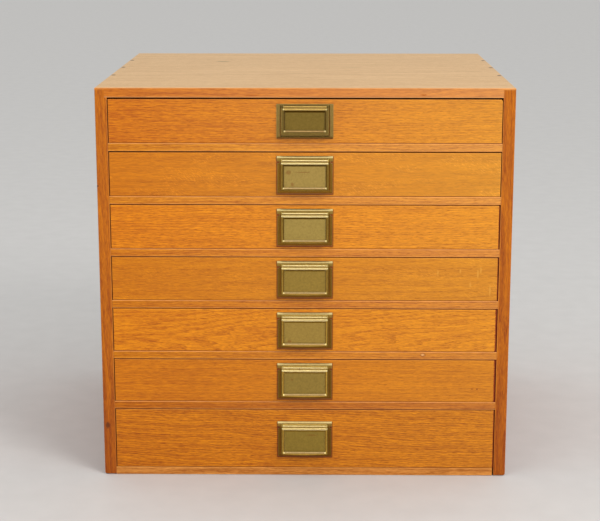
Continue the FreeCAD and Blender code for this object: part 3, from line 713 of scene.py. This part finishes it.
nails_low, nails_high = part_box("top_nails")
nail_middle = (nails_low + nails_high) / 2 / MM
nail_pitch = (nails_high.y - nails_low.y) / 2 / MM
NAIL_STAINS = [
    mark_on_top(across / MM, nail_middle.y + step * nail_pitch, 3.2, 6.0)
    for across in (nails_low.x, nails_high.x) for step in (-1, 0, 1)
]
SMUDGES = [mark_on_top(-113, 98, 11, 6), mark_on_top(60, 20, 14, 1.5)]
EDGE_MARKS = [mark(135, 456.4, 5, 1.0), mark(-190, 458.4, 9, 0.8), mark(-60, 455.9, 12, 0.7)]
finish(nodes["top_board"], oak(
    "lacquered oak top", "top_board", "flat X", "#DD801A", "#A64C07", ring_mm=4.0,
    pith=(60, 70), slope=(0.02, 0.01), wander=12.0, pores=0.35, fibres=0.45, wear=0.6, wear_mm=1.2,
    worn_and_highlit="#E2A468", shaded_gaps=True, shade_starts=(0.0, 0.4), sheltered=(0, 0, -1),
    pale_and_sheen=("#E8BE88", "#BF955F"), right_light=RIGHT_LIGHT_RAW_COLOUR,
    marks=[("#4A3018", NAIL_STAINS), ("#9C8052", SMUDGES), ("#B0590F", EDGE_MARKS)],
    lacquer=0.08, seed=11.0,
))
print("nails stained round:", len(NAIL_STAINS))

# %% [markdown]
# ## Sides and boards between the drawers
# The sides are boards with upright grain, and their front edges are a darker golden brown. The
# boards between the drawers show edges that are mostly a little paler than the fronts, with a pale
# line along the top that is partly wear and partly a painted highlight where the arris catches the
# light. Their edges have next to no lacquer left.

# %% Sides and boards
DARK_SPOT_COLOUR = "#6E3408"
SIDE_MARKS = {
    "side_left": [(DARK_SPOT_COLOUR, [mark(-235, 61.5, 3, 5), mark(-239, 350.8, 1.5, 1.5)])],
}
for name, inward, light, dark, seed in (
    ("side_left", 1, "#D37801", "#9B4501", 21.0),
    ("side_right", -1, "#CE7400", "#943F01", 34.0),
):
    finish(nodes[name], oak(
        f"lacquered oak {name}", name, "Z", light, dark, ring_mm=3.2, pith=(40, 60),
        slope=(0.01, 0.02), wander=8.0, fibres=0.45, wear=0.3, shaded_gaps=True,
        sheltered=(inward, 0, 0), marks=SIDE_MARKS.get(name, ()), grubby_foot=True, seed=seed,
    ))
STRIP_MARKS = {
    3: [(DARK_SPOT_COLOUR, [mark(19, 337.3, 2.0, 0.8)])],
    5: [("#9A4A0C", [mark(139, 149.7, 4.0, 2.6)]), ("#E0A868", [mark(139, 149.9, 2.8, 1.6)])],
}
# The lower boards are darker: a painted fall-off of the light towards the floor.
STRIP_COLOURS = {
    1: ("#E89312", "#B25F03"),
    2: ("#E9931A", "#B35F05"),
    3: ("#E48B11", "#AE5603"),
    4: ("#E08803", "#AC5502"),
    5: ("#E18A04", "#AB5701"),
    6: ("#D27904", "#A14D01"),
}
# The strong pale edge of these boards is partly wear and partly a painted highlight.
for number, (light, dark) in STRIP_COLOURS.items():
    board = f"divider_{number}"
    finish(nodes[board], oak(
        f"lacquered oak divider {number}", board, "X", light, dark, pith=(90, 120), wander=6.0,
        wear=0.85, wear_mm=0.9, worn_and_highlit="#FFB064", shaded_gaps=True, shade_starts=(0.0, 0.3),
        lit_arris=0.4, right_light=RIGHT_LIGHT_RAW_COLOUR, marks=STRIP_MARKS.get(number, ()),
        lacquer=0.06, seed=40 + 3.1 * number,
    ))
finish(nodes["bottom_board"], oak(
    "lacquered oak bottom board", "bottom_board", "X", "#E69946", "#A55B15", pith=(80, 90),
    wander=6.0, wear=0.5, shaded_gaps=True, lacquer=0.06, seed=70.0,
))
print("boards between the drawers:", len(STRIP_COLOURS))

# %% [markdown]
# ## Planed corners
# The boards between the drawers have sharp corners in the frame. On the real ones the saw-sharp
# edge was taken off with a few strokes of a plane, and that tiny slope is what catches the light.
# A bevel modifier makes it. The frame's meshes are split along their sharp edges, so a weld
# modifier closes them first, because a bevel needs edges that join two faces.

# %% Planed corners
CORNER_MM = 0.45
CLOSE_ENOUGH_MM = 0.01        # corners nearer than this are one
SHARP = math.radians(40)      # edges that turn more than this are planed


def plane_corners(piece):
    weld = piece.modifiers.new("weld", "WELD")
    weld.merge_threshold = CLOSE_ENOUGH_MM * MM
    bevel = piece.modifiers.new("planed corners", "BEVEL")
    bevel.width = CORNER_MM * MM
    bevel.segments = 2
    bevel.limit_method = "ANGLE"
    bevel.angle_limit = SHARP


for number in STRIP_COLOURS:
    plane_corners(nodes[f"divider_{number}"])
plane_corners(nodes["bottom_board"])
print("planed corners of", CORNER_MM, "mm")

# %% [markdown]
# ## Bare oak inside
# Drawer sides, backs and stops are oak that was planed and left bare. It has no coat and no
# gloss from one, and its colour is a dry straw brown. The back of the chest is thin oak, stained
# brown, in which the rings show as wide bands.

# %% Bare oak
DRAWERS = range(1, 8)
BARE_LIGHT = "#CDAA7C"
BARE_DARK = "#A98355"
for number in DRAWERS:
    for word, grain in (("side_left", "Y"), ("side_right", "Y"), ("back", "X"), ("bottom", "flat X")):
        board = f"drawer_{number}_{word}"
        finish(nodes[board], oak(
            f"bare oak drawer {number} {word}", board, grain, BARE_LIGHT, BARE_DARK, pith=(60, 80),
            wander=8.0, wear=0.15, lacquer=0.0, seed=5.3 * number + len(word),
        ))
finish(nodes["drawer_stops"], oak(
    "bare oak stops", "drawer_stops", "X", BARE_LIGHT, BARE_DARK, lacquer=0.0, wear=0.0,
))
finish(nodes["back_panel"], oak(
    "stained oak back", "back_panel", "Z", "#B07C48", "#8A5A2F", ring_mm=5.0, pith=(30, 90),
    slope=(0.01, 0.02), wander=24.0, lacquer=0.0, seed=90.0,
))
print("drawers finished inside:", len(DRAWERS))

# %% [markdown]
# ## Aged brass
# The pulls are brass that was once polished. Years have given it a brown patina, thickest in the
# corners, and the panel has turned a matte olive gold. The reeds, the bead and the top of the
# cornice carry painted highlights, and a dark band of painted shade lies under the reeds and beside
# the panel. Brass is a metal, so its colour is the colour of its reflection. The plate, the cornice,
# the reeds and the panel are told apart by their places, as boxes that lie over one another.

# %% Brass: the parts of a pull
FAR_MM = 100.0                # beyond the pull in every direction
PLATE_MM = 1.15               # the plate and a little more, so that its whole face is taken
PANEL_SHADE_MM = 1.2               # how far the painted shade reaches beyond the panel
BEAD_MM = 0.9                 # how far the bead under the panel does
# Painted highlight: the cornice's top, sharp edges and the ends of the mouldings.
BRASS_HIGHLIGHT = "#FFEAA2"
# Painted shade under the reeds and beside the panel.
BRASS_SHADE = "#54380A"
BRASS_SHEEN_BETWEEN_REEDS = "#CCA85C"     # painted reflection between the reeds
# Heights are counted down from the pull's top edge and half widths from its middle, in mm.
# crown, hooded cornice, reed and bead colours: painted highlights and reflections from above.
PULL_KINDS = {
    # edge is painted shade at the pull's foot; the hooded border is painted shade from the hood.
    "low": dict(
        hood="#8A7038", border="#6E5A30", cornice="#6E5A30", reed="#DCB868", bead="#BE9A62",
        edge="#5A2E08", crown_end=0.0, cornice_end=0.0, reeds=((2.4, 4.2), (5.3, 7.3)), reed_half=24.5,
        panel=(9.6, 29.5), panel_half=22.8, bead_end=31.3, edge_start=38.4,
    ),
    "hooded": dict(
        hood="#90702F", border="#6E480E", cornice="#BC9A4C", reed="#FFE8A6", bead="#CFB07A",
        edge="#7A4A14", crown_end=2.3, cornice_end=6.2, reeds=((4.4, 6.3), (7.5, 9.6)), reed_half=26.25,
        panel=(11.8, 35.2), panel_half=23.95, bead_end=37.1, edge_start=42.0,
    ),
}


def box_mask(tree, places, low, high):
    """1 inside a box, given by two corners in mm, and 0 outside, with a slightly soft rim."""
    middle = (Vector(low) + Vector(high)) / 2
    half = (Vector(high) - Vector(low)) / 2
    away = node(tree, "VectorMath", {0: places, 1: middle}, operation="SUBTRACT")
    share = node(tree, "VectorMath", {0: away, 1: half}, operation="DIVIDE")
    size = node(tree, "VectorMath", {0: share}, operation="ABSOLUTE")
    parts = node(tree, "SeparateXYZ", {0: size}).outputs
    widest = node(tree, "Math", {0: parts["X"], 1: parts["Y"]}, operation="MAXIMUM")
    widest = node(tree, "Math", {0: widest, 1: parts["Z"]}, operation="MAXIMUM")
    return node(tree, "MapRange", {"Value": widest, "From Min": 1.02, "From Max": 0.98})


def pull_zones(board, look, panel_colour):
    """The colours of a pull's parts, with the boxes that they fill. Later ones lie over earlier
    ones, and the panel comes last."""
    low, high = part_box(board)
    top = (high.z - low.z) / 2 / MM
    back = (high.y - low.y) / 2 / MM
    face = back - PLATE_MM
    upper_reed, lower_reed = look["reeds"]
    panel_start, panel_end = look["panel"]
    spans = [
        (look["cornice"], FAR_MM, 0, look["cornice_end"]),
        (BRASS_HIGHLIGHT, FAR_MM, 0, look["crown_end"]),
        (BRASS_SHADE, look["panel_half"] + PANEL_SHADE_MM, lower_reed[1], panel_end),
        (BRASS_SHEEN_BETWEEN_REEDS, look["reed_half"], upper_reed[0], lower_reed[1]),
        (look["reed"], look["reed_half"], *upper_reed),
        (look["reed"], look["reed_half"], *lower_reed),
        (look["bead"], look["panel_half"] + BEAD_MM, panel_end, look["bead_end"]),
        (panel_colour, look["panel_half"], panel_start, panel_end),
    ]
    zones = [
        (look["border"], (-FAR_MM, face, -FAR_MM), (FAR_MM, FAR_MM, FAR_MM)),
        (look["edge"], (-FAR_MM, -FAR_MM, -FAR_MM), (FAR_MM, FAR_MM, top - look["edge_start"])),
    ]
    for colour, half, start, end in spans:
        if end > start:
            zones.append((colour, (-half, -FAR_MM, top - end), (half, face, top - start)))
    return zones


print("kinds of pull:", ", ".join(PULL_KINDS))

# %% [markdown]
# ## The brass itself
# Ambient occlusion says how closely a point is hemmed in by the piece itself, which finds the
# corners. Turned to look into the metal, it finds the sharp edges, which are painted brighter, partly
# where the patina has been rubbed off and partly as a painted highlight. Small painted glints sit
# where the mouldings end.

# %% Brass: the material
BRASS_PATINA = "#33200A"
BRASS_STAIN = "#7C3E1C"
STAIN_STRENGTH = 0.45
CLOUD_MM = 2.5                # size of the patina's clouds
PATINA_REACH_MM = 2.0
PATINA_STRENGTH = 0.85
EDGE_REACH_MM = 0.7
EDGE_STRENGTH = 0.25
BRASS_ROUGHNESS = 0.28
PANEL_ROUGHNESS = 0.46
DOT_MM = 1.2                  # radius of the spots where the mouldings end


def glint_dots(board, look):
    """Spots at the ends of the lower reed and of the bead, just above their lower edges."""
    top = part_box(board)[1].z / MM
    reed_up = top - look["reeds"][1][1] + 1.2
    bead_up = top - look["bead_end"] + 0.9
    ends = [(look["reed_half"], reed_up), (look["panel_half"] + 0.3, bead_up)]
    return [mark(side * across, up, DOT_MM, DOT_MM, FAR_MM) for across, up in ends for side in (-1, 1)]


def aged_brass(name, board, look, panel_colour, seed, marks):
    material, tree = new_material(name)
    places = board_places(tree, board)
    colour = linear(look["hood"])
    for tint, low, high in pull_zones(board, look, panel_colour):
        zone = box_mask(tree, places, low, high)
        colour = node(tree, "Mix", {
            FACTOR: zone, COLOUR_A: colour, COLOUR_B: linear(tint),
        }, data_type="RGBA").outputs[COLOUR_OUT]

    drift = node(tree, "VectorMath", {0: places, 1: (seed, seed, seed)})
    cloud = node(tree, "TexNoise", {
        "Vector": drift, "Scale": 1 / CLOUD_MM, "Detail": 6.0, "Roughness": 0.7,
    })
    uneven = node(tree, "MapRange", {
        "Value": cloud, "From Min": 0.3, "From Max": 0.7, "To Min": 0.82, "To Max": 1.14,
    })
    colour = node(tree, "VectorMath", {0: colour, "Scale": uneven}, operation="SCALE")
    layers = []
    if marks:
        soaked = node(tree, "Math", {
            0: mark_mask(tree, places, board, marks), 1: STAIN_STRENGTH,
        }, operation="MULTIPLY")
        layers.append((soaked, BRASS_STAIN))
    into_metal = node(tree, "AmbientOcclusion", {
        "Distance": EDGE_REACH_MM * MM,
    }, inside=True, only_local=True)
    rubbed_and_highlit = node(tree, "MapRange", {
        "Value": into_metal.outputs["AO"],
        "From Min": 0.8, "From Max": 0.45, "To Max": EDGE_STRENGTH,
    })
    layers.append((rubbed_and_highlit, BRASS_HIGHLIGHT))
    layers.append((mark_mask(tree, places, board, glint_dots(board, look)), BRASS_HIGHLIGHT))
    hemmed = node(tree, "AmbientOcclusion", {"Distance": PATINA_REACH_MM * MM}, only_local=True)
    patina = node(tree, "MapRange", {
        "Value": hemmed.outputs["AO"],
        "From Min": 0.66, "From Max": 0.25, "To Max": PATINA_STRENGTH,
    })
    layers.append((patina, BRASS_PATINA))
    for factor, tint in layers:
        colour = node(tree, "Mix", {
            FACTOR: factor, COLOUR_A: colour, COLOUR_B: linear(tint),
        }, data_type="RGBA").outputs[COLOUR_OUT]

    in_panel = zone               # the last of the zones
    matte = node(tree, "Math", {
        0: in_panel, 1: PANEL_ROUGHNESS - BRASS_ROUGHNESS, 2: BRASS_ROUGHNESS,
    }, operation="MULTIPLY_ADD")
    surface = node(tree, "BsdfPrincipled", {
        "Base Color": colour,
        "Metallic": 1.0,
        "Roughness": matte,
    })
    node(tree, "OutputMaterial", {"Surface": surface})
    return material


PULL_FINISHES = {
    1: dict(panel_colour="#80682F"),
    2: dict(panel_colour="#A88C4B",
            marks=[(-19, 367.6, 4, 3), (-14, 354.2, 2.5, 3), (-2, 368, 12, 0.7)]),
    3: dict(panel_colour="#A48A49"),
    4: dict(panel_colour="#967A39"),
    5: dict(panel_colour="#9D803F", marks=[(-14, 160.2, 7, 1.2), (-18, 168, 3, 2)]),
    6: dict(panel_colour="#91773A", marks=[(-15, 120.2, 1.6, 1.2), (-6, 133.2, 1.2, 1.5)]),
    7: dict(panel_colour="#8B7232", marks=[(9, 51.3, 8, 0.9)]),
}
for number, figure in PULL_FINISHES.items():
    board = f"drawer_{number}_pull"
    look = PULL_KINDS["low" if number == 1 else "hooded"]
    stains = [mark(*sizes, FAR_MM) for sizes in figure.get("marks", ())]
    finish(nodes[board], aged_brass(
        f"aged brass pull {number}", board, look, figure["panel_colour"], 13.0 * number, stains,
    ))
print("brass pulls:", len(PULL_FINISHES))

# %% [markdown]
# ## Pins
# Two round-headed brass pins hold each pull at its upper corners: through the cornice, or on the
# top drawer through the hood's shoulders. A pin's head is turned on a lathe, so its mesh is
# rings of corners round one axis. Nobody polishes a pin, so its brass is dull and partly dark.

# %% Pins: the heads
PIN_RADIUS_MM = 1.15
PIN_RISE_MM = 0.7             # how far the head stands out
PIN_RINGS = 4
PIN_STEPS = 16


def add_pin_head(corners, faces, place):
    """A dome that faces -Y: the middle of its flat back, rings from the rim inwards, and a tip."""
    back = len(corners)
    tip = back + 1 + PIN_RINGS * PIN_STEPS
    corners.append(place)
    for ring in range(PIN_RINGS):
        angle = math.pi / 2 * ring / PIN_RINGS
        out = PIN_RADIUS_MM * MM * math.cos(angle)
        rise = PIN_RISE_MM * MM * math.sin(angle)
        for step in range(PIN_STEPS):
            turn = 2 * math.pi * step / PIN_STEPS
            corners.append(place + Vector((out * math.cos(turn), -rise, out * math.sin(turn))))
    corners.append(place - Vector((0, PIN_RISE_MM * MM, 0)))
    for step in range(PIN_STEPS):
        here = back + 1 + step
        there = back + 1 + (step + 1) % PIN_STEPS
        faces.append((back, there, here))
        for ring in range(PIN_RINGS - 1):
            faces.append((here, there, there + PIN_STEPS, here + PIN_STEPS))
            here += PIN_STEPS
            there += PIN_STEPS
        faces.append((here, there, tip))


def pin_mesh(name, places):
    corners = []
    faces = []
    for place in places:
        add_pin_head(corners, faces, place)
    mesh = bpy.data.meshes.new(name)
    mesh.from_pydata(corners, [], faces)
    for face in mesh.polygons:
        face.use_smooth = True
    return mesh


print("pin heads are", 2 * PIN_RADIUS_MM, "mm wide")

# %% [markdown]
# The two pins of a pull are one piece that rides on its drawer, so they go along when it opens.

# %% Pins: in place
PIN_ACROSS_MM = 26.2          # from the middle of the pull
PIN_DOWN_MM = 3.3             # below its top edge
CORNICE_FACE_MM = 1.6         # how far the cornice stands out there
SHOULDER_FACE_MM = 2.5        # and the low pull's hood

pin_brass = mottled("tarnished brass pin", "#8A7440", "#2E2008", 1.5, {
    "Metallic": 1.0, "Roughness": 0.35,
}, detail=2.0)
for number in DRAWERS:
    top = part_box(f"drawer_{number}_pull")[1].z / MM
    out = SHOULDER_FACE_MM if number == 1 else CORNICE_FACE_MM
    places = [
        MM * Vector((side * PIN_ACROSS_MM, FACE_MM - out, top - PIN_DOWN_MM))
        for side in (-1, 1)
    ]
    pins = bpy.data.objects.new(f"drawer_{number}_pins", pin_mesh(f"drawer_{number}_pins", places))
    bpy.context.scene.collection.objects.link(pins)
    pins.data.materials.append(pin_brass)
    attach(pins, f"drawer_{number}")
    print(pins.name, len(pins.data.polygons), "faces")

# %% [markdown]
# ## Baize
# Cutlery is laid on baize, a woollen cloth with a raised nap that hides its weave. The nap is
# soft and has a faint sheen, so the cloth looks deep green and never shines. Its hairs are too
# fine for this picture, so they are drawn about a millimetre apart.

# %% Baize: the cloth
BAIZE_LIGHT = "#2F5A3C"
BAIZE_DARK = "#1F4029"
BAIZE_SHEEN = "#7FA588"
NAP_MM = 0.9
NAP_DEPTH_MM = 0.3
FLAT_PATCH_MM = 60            # patches where the nap lies flatter

baize, tree = new_material("woollen baize with a raised nap")
where = node(tree, "TexCoord").outputs["Object"]
nap = node(tree, "TexNoise", {"Vector": where, "Scale": 1 / (NAP_MM * MM), "Detail": 3.0})
patches = node(tree, "TexNoise", {"Vector": where, "Scale": 1 / (FLAT_PATCH_MM * MM), "Detail": 2.0})
blend = node(tree, "Math", {0: nap, 1: patches}, operation="MULTIPLY")
spread = node(tree, "MapRange", {"Value": blend, "From Min": 0.1, "From Max": 0.4})
colour = node(tree, "Mix", {
    FACTOR: spread, COLOUR_A: linear(BAIZE_DARK), COLOUR_B: linear(BAIZE_LIGHT),
}, data_type="RGBA")
bump = node(tree, "Bump", {"Strength": 0.5, "Distance": NAP_DEPTH_MM * MM, "Height": nap})
surface = node(tree, "BsdfPrincipled", {
    "Base Color": colour.outputs[COLOUR_OUT],
    "Roughness": 0.95,
    "Sheen Weight": 0.5,
    "Sheen Roughness": 0.4,
    "Sheen Tint": linear(BAIZE_SHEEN),
    "Normal": bump,
})
node(tree, "OutputMaterial", {"Surface": surface})
print("nap hairs are drawn", NAP_MM, "mm apart")

# %% [markdown]
# One piece is cut to fit the floor of each drawer and laid in loose. It is a grid with slow
# bumps and a real thickness, so that its cut edge shows.

# %% Baize: in the drawers
BAIZE_MARGIN_MM = 1.0
BAIZE_GAP_MM = 0.1            # between the cloth and the board that it lies on
BAIZE_THICKNESS_MM = 1.2
BAIZE_CELL_MM = 12.0
BAIZE_LIFT_MM = 0.35          # height of the slow bumps
BAIZE_BUMPS_PER_METRE = 14


def lay_baize(number):
    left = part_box(f"drawer_{number}_side_left")[1].x + BAIZE_MARGIN_MM * MM
    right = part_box(f"drawer_{number}_side_right")[0].x - BAIZE_MARGIN_MM * MM
    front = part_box(f"drawer_{number}_front")[1].y + BAIZE_MARGIN_MM * MM
    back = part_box(f"drawer_{number}_back")[0].y - BAIZE_MARGIN_MM * MM
    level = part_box(f"drawer_{number}_bottom")[1].z + BAIZE_GAP_MM * MM
    width = right - left
    length = back - front
    across = round(width / (BAIZE_CELL_MM * MM))
    along = round(length / (BAIZE_CELL_MM * MM))
    grid = bmesh.new()
    bmesh.ops.create_grid(grid, x_segments=across, y_segments=along, size=0.5)
    for vertex in grid.verts:
        vertex.co.x = left + (vertex.co.x + 0.5) * width
        vertex.co.y = front + (vertex.co.y + 0.5) * length
        bumpy = noise.noise(Vector((vertex.co.x, vertex.co.y, number)) * BAIZE_BUMPS_PER_METRE)
        vertex.co.z = level + (0.5 + 0.5 * bumpy) * BAIZE_LIFT_MM * MM
    mesh = bpy.data.meshes.new(f"drawer_{number}_baize")
    grid.to_mesh(mesh)
    grid.free()
    for face in mesh.polygons:
        face.use_smooth = True
    cloth = bpy.data.objects.new(mesh.name, mesh)
    bpy.context.scene.collection.objects.link(cloth)
    thickness = cloth.modifiers.new("thickness", "SOLIDIFY")
    thickness.thickness = BAIZE_THICKNESS_MM * MM
    thickness.offset = 1.0
    cloth.data.materials.append(baize)
    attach(cloth, f"drawer_{number}")
    return width, length


for number in DRAWERS:
    width, length = lay_baize(number)
print("baize cut to", round(width / MM, 1), "by", round(length / MM, 1), "mm")

# %% [markdown]
# ## Nails
# The nails in the top were punched in and covered with dark wood filler, which is dull and
# nearly black. The ones in the back are plain steel with a brown film of rust.

# %% Nails
for name, material_name, light, dark, metallic in (
    ("top_nails", "wood filler over a nail", "#3A2412", "#140C06", 0.0),
    ("back_nails", "rusted steel nail", "#5A4532", "#3A2B20", 0.7),
):
    finish(nodes[name], mottled(material_name, light, dark, 2.0, {
        "Metallic": metallic, "Roughness": 0.7,
    }))
    print(name, "are", material_name)

# %% [markdown]
# ## Sizes at the end
# The last step prints the size of everything that is visible, to set beside the frame's size from the
# start.

# %% Sizes
low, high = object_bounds()
print("visible size in mm:", [round(side / MM, 1) for side in high - low])
